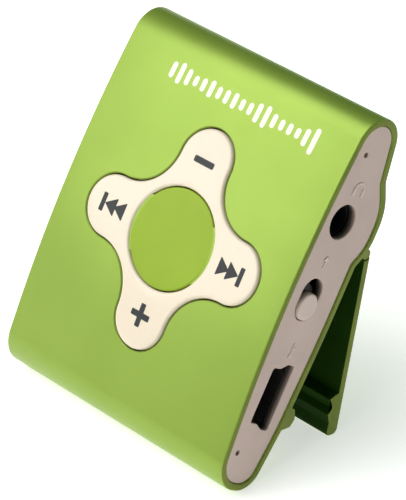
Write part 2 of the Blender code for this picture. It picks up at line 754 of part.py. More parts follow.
def stand_up():
    """Lean the player back and rest it on z = 0, with its box centred over the origin."""
    STAND.rotation_euler = (math.radians(-lean_angle()), 0, 0)
    bpy.context.view_layer.update()
    corners = []
    for thing in bpy.data.objects:
        if thing.type == "MESH":
            corners += [thing.matrix_world @ vertex.co for vertex in thing.data.vertices]
    low = [min(c[i] for c in corners) for i in range(3)]
    high = [max(c[i] for c in corners) for i in range(3)]
    STAND.location = (-(low[0] + high[0]) / 2, -(low[1] + high[1]) / 2, -low[2])


build()
stand_up()
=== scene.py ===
import json
import math

import bmesh
import bpy
from mathutils import Matrix, Vector


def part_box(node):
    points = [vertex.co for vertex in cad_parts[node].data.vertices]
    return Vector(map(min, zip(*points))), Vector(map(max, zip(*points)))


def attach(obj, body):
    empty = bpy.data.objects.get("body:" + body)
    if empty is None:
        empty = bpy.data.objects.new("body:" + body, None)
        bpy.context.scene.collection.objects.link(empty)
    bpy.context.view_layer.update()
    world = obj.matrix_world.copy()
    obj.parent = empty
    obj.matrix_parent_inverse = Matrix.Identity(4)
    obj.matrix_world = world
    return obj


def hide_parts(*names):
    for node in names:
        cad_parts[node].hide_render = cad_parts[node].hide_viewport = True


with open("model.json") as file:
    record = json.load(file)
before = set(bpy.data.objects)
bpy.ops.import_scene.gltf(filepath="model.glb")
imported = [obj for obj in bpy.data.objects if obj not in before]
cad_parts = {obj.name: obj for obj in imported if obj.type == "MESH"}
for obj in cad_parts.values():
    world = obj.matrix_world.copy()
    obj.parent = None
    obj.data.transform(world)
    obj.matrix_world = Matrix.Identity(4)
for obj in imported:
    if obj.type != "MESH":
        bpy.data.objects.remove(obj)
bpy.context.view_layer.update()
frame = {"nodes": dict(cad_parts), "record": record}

# The player leans back on its open clip. Everything below is drawn in the player's own
# axes in millimetres (x right, y front to back, z up the body, zero at the button's middle)
# and turned to where the player stands by playerAxes.

mm = 0.001
record = frame["record"]
jointFacts = {joint["name"]: joint for joint in record["behaviour"]["joints"]}
keyPivotDepth = 1.6  # the key tips about a point this far behind the face


def findPlayerAxes():
    back = Vector(jointFacts["centre_press"]["axis"])  # the button is pressed straight back
    up = Vector(jointFacts["power_slide"]["axis"])  # the switch slides straight up
    right = back.cross(up)
    keyPivot = Vector(jointFacts["key_tip_up_down"]["pos_m"])
    middle = keyPivot - back * keyPivotDepth * mm
    turn = Matrix((right, back, up)).transposed().to_4x4()
    return Matrix.Translation(middle) @ turn


playerAxes = findPlayerAxes()
hinge = playerAxes.inverted() @ Vector(jointFacts["clip_hinge"]["pos_m"]) / mm
capBox = [playerAxes.inverted() @ Vector(corner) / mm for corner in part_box("end_cap_right")]
capFace = max(corner.x for corner in capBox)  # outside of the right end cap
print("player axes found, clip hinge at", [round(value, 2) for value in hinge])

fineChord = 0.0025  # how far a facet may leave its arc, in millimetres
softEdge = ((1.0, 0.0), (0.62, 0.08), (0.3, 0.3), (0.08, 0.62), (0.0, 1.0))  # inwards and down
edgeAngles = (0.4, 0.8, 1.2, math.pi / 2)  # steps round a small turned edge


def arcSteps(radius, angle):
    step = 2 * math.acos(1 - fineChord / max(radius, 4 * fineChord))
    return max(2, math.ceil(abs(angle) / step))


def arc(centre, radius, start, end, steps=None):
    sweep = math.radians(end - start)
    steps = steps or arcSteps(radius, sweep)
    angles = [math.radians(start) + sweep * i / steps for i in range(steps + 1)]
    return [Vector((centre[0] + radius * math.cos(a), centre[1] + radius * math.sin(a))) for a in angles]


def roundedOutline(corners, inset=0.0):
    # rounds each (u, v, radius) corner and moves the whole outline inwards by inset
    points = [Vector((u, v)) for u, v, radius in corners]
    following = points[1:] + points[:1]
    area = sum(a.x * b.y - b.x * a.y for a, b in zip(points, following))
    side = math.copysign(1.0, area)
    edges = []
    for a, b in zip(points, following):
        along = (b - a).normalized()
        edges.append((a + Vector((-along.y, along.x)) * side * inset, along))
    outline = []
    for i, (u, v, radius) in enumerate(corners):
        startA, alongA = edges[i - 1]
        startB, alongB = edges[i]
        cross = alongA.x * alongB.y - alongA.y * alongB.x
        offset = startB - startA
        corner = startA + alongA * ((offset.x * alongB.y - offset.y * alongB.x) / cross)
        turn = math.atan2(cross, alongA.dot(alongB))
        if radius == 0:
            outline.append(corner)
            continue
        bend = max(0.01, radius - inset if turn * side > 0 else radius + inset)
        first = corner - alongA * bend * math.tan(abs(turn) / 2)
        centre = first + Vector((-alongA.y, alongA.x)) * math.copysign(bend, turn)
        steps = arcSteps(radius, turn)
        for k in range(steps + 1):
            outline.append(centre + Matrix.Rotation(turn * k / steps, 2) @ (first - centre))
    return outline


def insetRing(points, amount):
    # pulls a smooth closed outline inwards along its own normals
    count = len(points)
    area = sum(points[i].x * points[(i + 1) % count].y - points[(i + 1) % count].x * points[i].y
               for i in range(count))
    side = math.copysign(1.0, area)
    moved = []
    for i in range(count):
        along = points[(i + 1) % count] - points[i - 1]
        normal = Vector((-along.y, along.x)).normalized() * side
        moved.append(points[i] + normal * amount)
    return moved


def meshFromRings(name, rings, joinEnds=False):
    # quads between equal rings of (x, y, z) points, capped or joined into a loop
    builder = bmesh.new()
    made = [[builder.verts.new([c * mm for c in point]) for point in ring] for ring in rings]
    count = len(rings[0])
    pairs = list(zip(made, made[1:]))
    if joinEnds:
        pairs.append((made[-1], made[0]))
    for near, far in pairs:
        for i in range(count):
            j = (i + 1) % count
            builder.faces.new((near[i], near[j], far[j], far[i]))
    if not joinEnds:
        ends = [builder.faces.new(made[0]), builder.faces.new(made[-1])]
        builder.normal_update()
        bmesh.ops.triangulate(builder, faces=ends)
    return finishMesh(name, builder)


def finishMesh(name, builder):
    bmesh.ops.remove_doubles(builder, verts=builder.verts, dist=1e-7)
    bmesh.ops.recalc_face_normals(builder, faces=builder.faces)
    if builder.calc_volume(signed=True) < 0:
        bmesh.ops.reverse_faces(builder, faces=builder.faces)
    mesh = bpy.data.meshes.new(name)
    builder.to_mesh(mesh)
    builder.free()
    piece = bpy.data.objects.new(name, mesh)
    bpy.context.collection.objects.link(piece)
    return piece


def bar(name, outline, stations):
    # a length of section along x; stations are (x, inset) pairs
    rings = []
    for x, inset in stations:
        ring = insetRing(outline, inset) if inset else outline
        rings.append([(x, p.x, p.y) for p in ring])
    return meshFromRings(name, rings)


def roundedEnds(low, high, edge):
    # stations of a bar whose end edges are rounded by edge
    steps = [(0, edge), (edge * 0.13, edge * 0.5), (edge * 0.5, edge * 0.13), (edge, 0)]
    near = [(low + along, inset) for along, inset in steps]
    far = [(high - along, inset) for along, inset in reversed(steps)]
    return near + far


def boolean(base, tool, operation="DIFFERENCE"):
    modifier = base.modifiers.new("boolean", "BOOLEAN")
    modifier.operation = operation
    modifier.solver = "EXACT"
    modifier.object = tool
    evaluated = base.evaluated_get(bpy.context.evaluated_depsgraph_get())
    mesh = bpy.data.meshes.new_from_object(evaluated)
    base.modifiers.clear()
    base.data = mesh
    bpy.data.objects.remove(tool, do_unlink=True)


def place(piece, body, materials, replaced=(), sharpAngle=28):
    # turns a finished piece to where the player stands and hands it to its body
    piece.data.transform(playerAxes)
    for material in materials:
        piece.data.materials.append(material)
    piece.data.shade_smooth()
    piece.data.set_sharp_from_angle(angle=math.radians(sharpAngle))
    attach(piece, body)
    if replaced:
        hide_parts(*replaced)


def shade(red, green, blue):
    # a colour as it is picked, turned into the light values that the shader takes
    linear = []
    for value in (red, green, blue):
        share = value / 255
        linear.append(share / 12.92 if share <= 0.04045 else ((share + 0.055) / 1.055) ** 2.4)
    return (*linear, 1.0)


holeShadow = {
    "floor": 0.01685,  # distances from the middle of the player, in metres
    "mouth": 0.01758,
    "least": 0.1,
    "colour": shade(30, 27, 25),
}


def holeFade(nodes, links, where, colour):
    # walls of a hole fall into shade with their depth under the end face
    apart = nodes.new("ShaderNodeSeparateXYZ")
    links.new(where, apart.inputs["Vector"])
    reach = nodes.new("ShaderNodeMath")
    reach.operation = "ABSOLUTE"
    links.new(apart.outputs["X"], reach.inputs[0])
    fall = nodes.new("ShaderNodeMapRange")
    fall.interpolation_type = "SMOOTHSTEP"
    fall.inputs["From Min"].default_value = holeShadow["floor"]
    fall.inputs["From Max"].default_value = holeShadow["mouth"]
    fall.inputs["To Min"].default_value = holeShadow["least"]
    fall.inputs["To Max"].default_value = 1.0
    links.new(reach.outputs["Value"], fall.inputs["Value"])
    dim = nodes.new("ShaderNodeMix")
    dim.data_type = "RGBA"
    dim.inputs[6].default_value = holeShadow["colour"]
    links.new(fall.outputs["Result"], dim.inputs["Factor"])
    links.new(colour, dim.inputs[7])
    return dim.outputs[2]


plainFinish = {  # what a finish has where its own entry doesn't say
    "metallic": 0.0,
    "specular": 0.5,
    "coat": 0.0,
    "coatRoughness": 0.12,
    "depth": 0.0,
    "depthScale": 0.0015,
    "driftScale": 160,
    "driftRange": (0.3, 0.7),
    "grainScale": 4500,
    "grainRoughness": 0.6,
    "grainStrength": 0.2,
    "grainDepth": 0.00002,
    "stretch": (1, 1, 1),
    "glossDrift": 0.03,
    "holes": False,
}


def finishOf(name, ownLook):
    # one moulded, cast or metal finish: tone drift, fine grain and uneven gloss
    look = {**plainFinish, **ownLook}
    lowest, highest = look["driftRange"]
    material = bpy.data.materials.new(name)
    material.use_nodes = True
    nodes = material.node_tree.nodes
    links = material.node_tree.links
    shader = nodes["Principled BSDF"]
    shader.inputs["Metallic"].default_value = look["metallic"]
    shader.inputs["Coat Weight"].default_value = look["coat"]
    shader.inputs["Coat Roughness"].default_value = look["coatRoughness"]
    shader.inputs["Specular IOR Level"].default_value = look["specular"]
    shader.inputs["Subsurface Weight"].default_value = look["depth"]
    shader.inputs["Subsurface Scale"].default_value = look["depthScale"]
    where = nodes.new("ShaderNodeTexCoord")
    stretch = nodes.new("ShaderNodeMapping")
    stretch.inputs["Scale"].default_value = look["stretch"]
    links.new(where.outputs["Object"], stretch.inputs["Vector"])
    drift = nodes.new("ShaderNodeTexNoise")
    drift.inputs["Scale"].default_value = look["driftScale"]
    drift.inputs["Detail"].default_value = 4
    links.new(where.outputs["Object"], drift.inputs["Vector"])
    tone = nodes.new("ShaderNodeValToRGB")
    tone.color_ramp.elements[0].position = lowest
    tone.color_ramp.elements[1].position = highest
    tone.color_ramp.elements[0].color = look["dark"]
    tone.color_ramp.elements[1].color = look["light"]
    links.new(drift.outputs["Fac"], tone.inputs["Fac"])
    colour = tone.outputs["Color"]
    if look["holes"]:
        colour = holeFade(nodes, links, where.outputs["Object"], colour)
    links.new(colour, shader.inputs["Base Color"])
    grain = nodes.new("ShaderNodeTexNoise")
    grain.inputs["Scale"].default_value = look["grainScale"]
    grain.inputs["Detail"].default_value = 3
    grain.inputs["Roughness"].default_value = look["grainRoughness"]
    links.new(stretch.outputs["Vector"], grain.inputs["Vector"])
    gloss = nodes.new("ShaderNodeMapRange")
    gloss.inputs["From Min"].default_value = lowest
    gloss.inputs["From Max"].default_value = highest
    gloss.inputs["To Min"].default_value = look["roughness"] - look["glossDrift"]
    gloss.inputs["To Max"].default_value = look["roughness"] + look["glossDrift"]
    links.new(grain.outputs["Fac"], gloss.inputs["Value"])
    links.new(gloss.outputs["Result"], shader.inputs["Roughness"])
    bump = nodes.new("ShaderNodeBump")
    bump.inputs["Strength"].default_value = look["grainStrength"]
    bump.inputs["Distance"].default_value = look["grainDepth"]
    links.new(grain.outputs["Fac"], bump.inputs["Height"])
    links.new(bump.outputs["Normal"], shader.inputs["Normal"])
    material.diffuse_color = look["light"]
    return material


looks = {
    "greenMetal": {"dark": shade(138, 164, 62), "light": shade(145, 171, 68), "metallic": 0.5,
                   "roughness": 0.42, "grainScale": 5200, "grainDepth": 0.000012, "driftScale": 90,
                   "glossDrift": 0.04},
    # cut end faces: a browner tone of the cut end plus painted shade, as these faces look sideways away
    # from the light
    "cutEndShadeMetal": {"dark": shade(98, 110, 14), "light": shade(116, 130, 22), "metallic": 0.4,
                 "roughness": 0.5, "grainScale": 7000, "stretch": (1, 0.25, 0.25)},
    # painted shade: a dark copy of the green for the clip's inner face, standing in for the shade between
    # clip and body
    "paintedShadeInnerMetal": {"dark": shade(24, 52, 4), "light": shade(32, 64, 8), "specular": 0.06,
                   "roughness": 0.6, "grainScale": 5200, "grainDepth": 0.000012},
    "buttonGreen": {"dark": shade(136, 162, 6), "light": shade(142, 169, 12), "metallic": 0.15,
                    "roughness": 0.45, "grainScale": 5200},
    # cap plastic painted darker than the key's white: partly painted shade for the end caps turned from the
    # light, partly a pinkish grey tone
    "capPlasticShaded": {"dark": shade(205, 179, 171), "light": shade(213, 187, 179), "roughness": 0.55,
                   "grainScale": 3600, "grainDepth": 0.00003, "holes": True},
    # knob plastic painted darker than the key's white: partly painted shade of the end turned from the
    # light, partly its own pale tone
    "knobPlasticShaded": {"dark": shade(216, 193, 184), "light": shade(224, 201, 192), "roughness": 0.5,
                    "grainScale": 3600, "grainDepth": 0.00002, "holes": True},
    "keyWhite": {"dark": shade(235, 217, 196), "light": shade(238, 221, 200), "roughness": 0.3,
                 "grainScale": 2600, "grainDepth": 0.000006, "coat": 0.2, "depth": 0.05},
    # raised cap marks, likewise painted darker than the key's white: partly painted shade, partly their own
    # pale tone
    "capMarkShaded": {"dark": shade(216, 192, 183), "light": shade(224, 200, 191), "roughness": 0.5,
                "grainScale": 3600, "grainDepth": 0.00002},
    "inkCharcoal": {"dark": shade(24, 25, 28), "light": shade(34, 36, 39), "roughness": 0.5,
                    "grainScale": 9000, "grainDepth": 0.00001},
    "inkCream": {"dark": shade(240, 234, 216), "light": shade(248, 243, 228), "roughness": 0.45,
                 "grainScale": 9000, "grainDepth": 0.00001},
    "blackPlastic": {"dark": shade(16, 16, 17), "light": shade(27, 27, 29), "roughness": 0.5,
                     "grainScale": 3800},
    "steel": {"dark": shade(176, 176, 174), "light": shade(200, 200, 198), "metallic": 1.0,
              "roughness": 0.3, "grainScale": 2500, "stretch": (0.15, 1, 1)},
    "gold": {"dark": shade(196, 158, 78), "light": shade(220, 184, 104), "metallic": 1.0,
             "roughness": 0.27, "grainScale": 4000},
    "silicone": {"dark": shade(196, 196, 191), "light": shade(212, 212, 207), "roughness": 0.7,
                 "depth": 0.2},
    "boardGreen": {"dark": shade(20, 74, 44), "light": shade(36, 104, 66), "roughness": 0.38,
                   "driftScale": 900, "coat": 0.3},
    "framePlastic": {"dark": shade(52, 54, 56), "light": shade(66, 68, 71), "roughness": 0.6},
    "foil": {"dark": shade(188, 192, 197), "light": shade(214, 217, 221), "metallic": 0.85,
             "roughness": 0.36, "grainScale": 700, "grainDepth": 0.00008},
    "tape": {"dark": shade(196, 164, 84), "light": shade(218, 190, 112), "roughness": 0.65},
    "redWire": {"dark": shade(166, 22, 20), "light": shade(196, 34, 30), "roughness": 0.45},
    "blackWire": {"dark": shade(14, 14, 14), "light": shade(28, 28, 28), "roughness": 0.45},
}
finishes = {name: finishOf(name, look) for name, look in looks.items()}
print("finishes mixed:", len(finishes))

sleeve = {
    "halfWidth": 17.85,
    "wall": 0.85,
    "top": 22.75,
    "bottom": -22.7,
    "faceRadius": 155.0,
    "faceApex": 1.0,  # height of the face's foremost line
    "faceHalfAngle": 6.6,
    "frontTopRadius": 3.6,
    "frontBottomRadius": 4.0,
    "backTopRadius": 3.25,
    "backTopSlope": -14.0,
    "backBottomRadius": 3.0,
    "backBottomSlope": 8.0,
    "back": 10.05,
    "backBow": (0.04, -3.0, 90.0),  # how far the back swells, at what height, and its radius
    "notch": (9.0, 15.9),
    "notchRadius": 0.8,
    "hump": 11.35,
    "humpLow": 7.6,
    "humpSlopes": (35, 33),
    "humpRadii": (6.6, 6.0),
    "flankFootRadius": 0.4,
    "taper": (9.5, -15.0),
    "taperRadius": 30.0,
    "ridge": ((9.74, -12.0, 0.1), (10.42, -12.1, 0.3), (11.1, -13.2, 0.45), (10.8, -14.3, 0.35),
              (9.52, -14.85, 0.25)),
    "rimEdge": 0.2,
    "mouthFlare": ((-1.0, -0.1), (0.0, -0.1), (0.05, -0.03), (0.12, 0)),  # along and inset, at each mouth
    "knuckle": 0.62,
    "groove": 0.85,
    "springBay": 1.02,
    "knuckleStart": 5.88,
    "knuckleEnd": 12.82,
    "pinHole": 0.42,
    "rib": 1.5,  # metal left round the hinge, inside
    "ribEnd": 15.8,
}


def slopePoint(y, z, degrees, newZ):
    return y + (newZ - z) * math.tan(math.radians(degrees)), newZ


def faceY(z, depth=0.0):
    # depth of a surface lying under the front face, at height z
    radius = sleeve["faceRadius"] - depth
    return sleeve["faceRadius"] - math.sqrt(radius ** 2 - (z - sleeve["faceApex"]) ** 2)


def sleeveCorners(withRidge):
    # section corners, from the front face over the top and down the back
    half = sleeve["faceHalfAngle"]
    apex = sleeve["faceRadius"] * (1 - 1 / math.cos(math.radians(half)))
    topFront = slopePoint(apex, sleeve["faceApex"], half, sleeve["top"])
    bottomFront = slopePoint(apex, sleeve["faceApex"], -half, sleeve["bottom"])
    notch = sleeve["notch"]
    topBack = slopePoint(*notch, sleeve["backTopSlope"], sleeve["top"])
    steepTop, steepLow = [math.tan(math.radians(slope)) for slope in sleeve["humpSlopes"]]
    humpTop = notch[1] - (sleeve["hump"] - notch[0]) / steepTop
    flankFoot = sleeve["humpLow"] - (sleeve["hump"] - sleeve["back"]) / steepLow
    bow, bowHeight, bowRadius = sleeve["backBow"]
    bottomBack = slopePoint(*sleeve["taper"], sleeve["backBottomSlope"], sleeve["bottom"])
    corners = [
        (apex, sleeve["faceApex"], sleeve["faceRadius"]),
        (*topFront, sleeve["frontTopRadius"]),
        (*topBack, sleeve["backTopRadius"]),
        (*notch, sleeve["notchRadius"]),
        (sleeve["hump"], humpTop, sleeve["humpRadii"][0]),
        (sleeve["hump"], sleeve["humpLow"], sleeve["humpRadii"][1]),
        (sleeve["back"], flankFoot, sleeve["flankFootRadius"]),
        (sleeve["back"] + bow, bowHeight, bowRadius),
    ]
    if withRidge:
        corners += sleeve["ridge"]
    else:
        corners.append((*sleeve["taper"], sleeve["taperRadius"]))
    corners.append((*bottomBack, sleeve["backBottomRadius"]))
    corners.append((*bottomFront, sleeve["frontBottomRadius"]))
    return corners


def hingeBar(radius, low, high):
    ring = arc((hinge.y, hinge.z), radius, 0, 360, 2 * round(20 + 12 * radius))[:-1]
    return bar("hingeBar", ring, [(low, 0), (high, 0)])


def markEndFaces(piece, reach):
    # faces that look along x get the second finish: the cut end of the section, partly its browner tone and
    # partly painted shade
    for face in piece.data.polygons:
        if abs(face.normal.x) > 0.8 and abs(face.center.x) > reach * mm:
            face.material_index = 1


def makeSleeve():
    half = sleeve["halfWidth"]
    edge = sleeve["rimEdge"]
    outer = roundedOutline(sleeveCorners(True))
    piece = bar("greenSleeve", outer, roundedEnds(-half, half, edge))
    inner = roundedOutline(sleeveCorners(False), sleeve["wall"])
    flare = [(-half + along, inset) for along, inset in sleeve["mouthFlare"]]
    flare += [(-x, inset) for x, inset in reversed(flare)]
    cavity = bar("cavity", inner, flare)
    boolean(cavity, hingeBar(sleeve["rib"], -sleeve["ribEnd"], sleeve["ribEnd"]))
    boolean(piece, cavity)
    boolean(piece, keyWindow())
    end = sleeve["knuckleEnd"]
    for side in (-1, 1):
        low, high = sorted((side * (end - 0.3), side * (half - 0.02)))  # the groove trims the inner end
        boolean(piece, hingeBar(sleeve["knuckle"], low, high), "UNION")
    boolean(piece, hingeBar(sleeve["groove"], -end, end))
    boolean(piece, hingeBar(sleeve["springBay"], -sleeve["knuckleStart"], sleeve["knuckleStart"]))
    boolean(piece, hingeBar(sleeve["pinHole"], -half - 1, half - 1))
    markEndFaces(piece, half - edge * 2)
    return piece


key = {
    "lobeDistance": 9.75,
    "lobeRadius": 3.7,
    "waist": 7.68,
    "play": 0.18,
    "proud": 0.2,
    "edge": 0.34,
    "hole": 6.1,
    "hidden": 1.5,
    "rings": 10,  # loops across the top, so that it follows the curved face
    "windowChamfer": 0.13,
    "windowDepth": 2.2,
}


def keyOutline(grow=0.0):
    # four round lobes joined by hollow arcs, in (x, z)
    lobe = key["lobeRadius"]
    across = math.sqrt(2) * key["lobeDistance"]
    rest = key["waist"] - lobe
    centre = (key["lobeDistance"] ** 2 - rest ** 2) / (across - 2 * rest)
    hollow = centre - key["waist"]
    hub = centre / math.sqrt(2)
    lean = math.degrees(math.atan2(hub, hub - key["lobeDistance"]))
    outline = []
    for quarter in range(4):
        turn = Matrix.Rotation(math.radians(90 * quarter), 2)
        tip = arc((key["lobeDistance"], 0), lobe + grow, -lean, lean, 34)
        dip = arc((hub, hub), hollow - grow, lean + 180, 270 - lean, 22)
        outline += [turn @ p for p in tip[:-1] + dip[:-1]]
    return outline


def faceRing(points, depth):
    return [(p.x, faceY(p.y) + depth, p.y) for p in points]


def keyWindow():
    # cutter for the key's opening, a little wider at the face so that its edge is eased
    play = key["play"]
    wide = key["windowChamfer"]
    steps = [(play + wide * 1.5, -wide * 0.5), (play, wide), (play, key["windowDepth"])]
    return meshFromRings("keyWindow", [faceRing(keyOutline(grow), depth) for grow, depth in steps])


def makeKey():
    outline = keyOutline()
    edge = key["edge"]
    rings = [faceRing(outline, key["hidden"])]
    for inwards, down in reversed(softEdge):
        rings.append(faceRing(keyOutline(-edge * inwards), -key["proud"] + edge * down))
    outerTop = keyOutline(-edge)
    holeTop = [p.normalized() * (key["hole"] + edge) for p in outerTop]
    for k in range(1, key["rings"]):
        share = k / key["rings"]
        rings.append(faceRing([a.lerp(b, share) for a, b in zip(outerTop, holeTop)], -key["proud"]))
    for inwards, down in softEdge:
        ring = [p.normalized() * (key["hole"] + edge * inwards) for p in outerTop]
        rings.append(faceRing(ring, -key["proud"] + edge * down))
    rings.append(faceRing([p.normalized() * key["hole"] for p in outerTop], key["hidden"]))
    return meshFromRings("whiteKey", rings, joinEnds=True)


button = {
    "radius": 5.95,
    "crown": 0.05,
    "edge": 0.16,
    "hidden": 1.6,
    "steps": 128,
}


def makeButton():
    radius = button["radius"]
    edge = button["edge"]
    crown = button["crown"]
    profile = [(0.02, -crown), (radius * 0.5, -crown * 0.75), (radius - edge * 2, -crown * 0.1),
               (radius - edge, 0.0)]
    profile += [(radius - edge * (1 - math.sin(a)), edge * (1 - math.cos(a))) for a in edgeAngles]
    profile += [(radius, button["hidden"]), (0.02, button["hidden"])]
    ways = [2 * math.pi * k / button["steps"] for k in range(button["steps"])]
    rings = [[(r * math.cos(a), y, r * math.sin(a)) for a in ways] for r, y in profile]
    return meshFromRings("greenButton", rings)


printing = {
    "lift": 0.018,
    "sink": 0.05,
    "distance": 9.5,  # from the button's middle to each mark
    "minusLength": 3.05,
    "barWidth": 0.76,
    "plusLength": 2.8,
    "arrowHeight": 2.25,
    "arrowLength": 1.72,
    "arrowOverlap": 0.3,
    "arrowReach": 0.02,  # the outer arrow's point runs this far into the stop
    "stopWidth": 0.62,
    "plusThinner": 0.04,
}


def printedShape(name, outline, depth):
    # a film of ink that follows the curved surface lying depth under the face
    top = faceRing(outline, depth - printing["lift"])
    under = faceRing(outline, depth + printing["sink"])
    return meshFromRings(name, [top, under])


def roundedBar(x, z, length, width, radius):
    a, b = length / 2, width / 2
    return roundedOutline([(x - a, z - b, radius), (x + a, z - b, radius),
                           (x + a, z + b, radius), (x - a, z + b, radius)])


def plusOutline(x, z, length, width, radius):
    a, b = length / 2, width / 2
    corners = [(a, -b), (a, b), (b, b), (b, a), (-b, a), (-b, b), (-a, b), (-a, -b), (-b, -b), (-b, -a),
               (b, -a), (b, -b)]
    outer = {0, 1, 3, 4, 6, 7, 9, 10}
    return roundedOutline([(x + u, z + v, radius if i in outer else 0.04)
                           for i, (u, v) in enumerate(corners)])


def arrowOutline(tip, side):
    # a solid triangle whose point looks to side, -1 left or 1 right
    base = tip - side * printing["arrowLength"]
    half = printing["arrowHeight"] / 2
    return roundedOutline([(tip, 0, 0.05), (base, half, 0.08), (base, -half, 0.08)])


def makeKeyMarks():
    far = printing["distance"]
    depth = -key["proud"]
    wide = printing["barWidth"]
    plusWide = wide - printing["plusThinner"]
    outlines = [("minusMark", roundedBar(0, far, printing["minusLength"], wide, 0.2)),
                ("plusMark", plusOutline(0, -far, printing["plusLength"], plusWide, 0.12))]
    step = printing["arrowLength"] - printing["arrowOverlap"]
    stop = printing["stopWidth"]
    total = 2 * printing["arrowLength"] + stop - printing["arrowOverlap"]
    for side, name in ((-1, "previous"), (1, "next")):
        outerEnd = side * (far + total / 2)
        stopMiddle = outerEnd - side * stop / 2
        firstTip = outerEnd - side * stop
        outlines.append((name + "StopMark", roundedBar(stopMiddle, 0, stop, printing["arrowHeight"], 0.1)))
        outlines.append((name + "OuterArrow", arrowOutline(firstTip + side * printing["arrowReach"], side)))
        outlines.append((name + "InnerArrow", arrowOutline(firstTip - side * step, side)))
    for name, outline in outlines:
        mark = printedShape(name, outline, depth)
        place(mark, "key", [finishes["inkCharcoal"]])
    print("key marks printed:", len(outlines))


levelPrint = {
    "left": -9.9,
    "right": 12.3,
    "middle": 17.2,
    "barWidth": 0.72,
    "bars": 19,
    "tall": 3.8,
    "short": 1.0,
    "waves": (2.5, 0.35),  # half turns of the slow wave along the row, and where it starts
    "beat": (0.55, 0.45, 5.7),  # steady share, changing share and half turns of the quick wave
}


def makeLevelPrint():
    # a row of level bars, printed where players of this kind carry a mark
    count = levelPrint["bars"]
    wide = levelPrint["barWidth"]
    waves, start = levelPrint["waves"]
    steady, changing, quick = levelPrint["beat"]
    for k in range(count):
        share = k / (count - 1)
        x = levelPrint["left"] + (levelPrint["right"] - levelPrint["left"]) * share
        beat = steady + changing * math.cos(share * math.pi * quick)
        swell = abs(math.sin(share * math.pi * waves + start)) * beat
        tall = levelPrint["short"] + (levelPrint["tall"] - levelPrint["short"]) * abs(swell)
        outline = roundedBar(x, levelPrint["middle"], wide, tall, wide * 0.49)
        mark = printedShape("levelBar.%02d" % (k + 1), outline, 0.0)
        place(mark, "player", [finishes["inkCream"]])
    print("level bars printed:", count)


cap = {
    "play": 0.06,
    "thickness": 0.95,
    "edge": 0.12,
    "dimpleHeight": 18.2,
    "dimpleDepth": 3.4,
    "dimpleRadius": 0.33,
    "dimpleProfile": ((-0.6, 0.1), (-0.45, 0.02), (0.0, -0.02), (0.5, -0.1)),  # along and inset
    "jackY": 4.4,
    "jackZ": 10.25,
    "jackRadius": 2.08,
    "jackEase": 0.12,
    "slotY": 4.35,
    "slotLow": -0.05,
    "slotTravel": 1.65,
    "slotRadius": 1.74,
    "slotEase": 0.14,
    "usbZ": -11.1,
    "usbFront": 3.4,
    "usbBack": 6.95,
    "usbNarrow": 6.8,
    "usbWide": 8.0,
    "usbSteps": (1.25, 2.35),  # where the opening starts and stops widening, behind its front
    "usbEase": 0.08,
}


def usbOutline():
    z = cap["usbZ"]
    narrow = cap["usbNarrow"] / 2
    wide = cap["usbWide"] / 2
    front = cap["usbFront"]
    shoulder, wideFrom = [front + step for step in cap["usbSteps"]]
    back = cap["usbBack"]
    return roundedOutline([
        (front, z - narrow, 0.35), (shoulder, z - narrow, 0.4), (wideFrom, z - wide, 0.4),
        (back, z - wide, 0.35), (back, z + wide, 0.35), (wideFrom, z + wide, 0.4),
        (shoulder, z + narrow, 0.4), (front, z + narrow, 0.35)])


def slotOutline():
    low = cap["slotLow"]
    high = low + cap["slotTravel"]
    outline = arc((cap["slotY"], low), cap["slotRadius"], 180, 360)
    return outline + arc((cap["slotY"], high), cap["slotRadius"], 0, 180)


def capCutter(outline, ease):
    # straight through the cap, with an eased mouth
    stations = [(capFace - 2, 0), (capFace - ease, 0), (capFace - ease * 0.4, -ease * 0.2),
                (capFace, -ease), (capFace + 1, -ease)]
    return bar("capCutter", outline, stations)


def makeCap(name, side):
    plate = roundedOutline(sleeveCorners(False), sleeve["wall"] + cap["play"])
    edge = cap["edge"]
    inner = capFace - cap["thickness"]
    stations = [(inner, 0), (capFace - edge, 0), (capFace - edge * 0.5, edge * 0.13),
                (capFace - edge * 0.13, edge * 0.5), (capFace, edge)]
    piece = bar(name, plate, [(side * x, inset) for x, inset in stations])
    for z in (-cap["dimpleHeight"], cap["dimpleHeight"]):
        ring = arc((cap["dimpleDepth"], z), cap["dimpleRadius"], 0, 360, 24)[:-1]
        depths = [(side * (capFace + along), inset) for along, inset in cap["dimpleProfile"]]
        boolean(piece, bar("dimple", ring, depths))
    if side > 0:
        jackRing = arc((cap["jackY"], cap["jackZ"]), cap["jackRadius"], 0, 360, 72)[:-1]
        boolean(piece, capCutter(jackRing, cap["jackEase"]))
        boolean(piece, capCutter(slotOutline(), cap["slotEase"]))
        boolean(piece, capCutter(usbOutline(), cap["usbEase"]))
    return piece


capMarks = {
    "lift": 0.09,
    "headphones": (4.85, 14.15),
    "bandRadii": (1.0, 0.74),
    "arrowFoot": (4.35, 5.1),
    "plug": (5.15, -5.2),
}


def embossed(name, outline):
    lift = capMarks["lift"]
    stations = [(capFace - 0.05, 0), (capFace + lift * 0.6, 0), (capFace + lift, lift * 0.8)]
    piece = bar(name, outline, stations)
    place(piece, "player", [finishes["capMarkShaded"]])


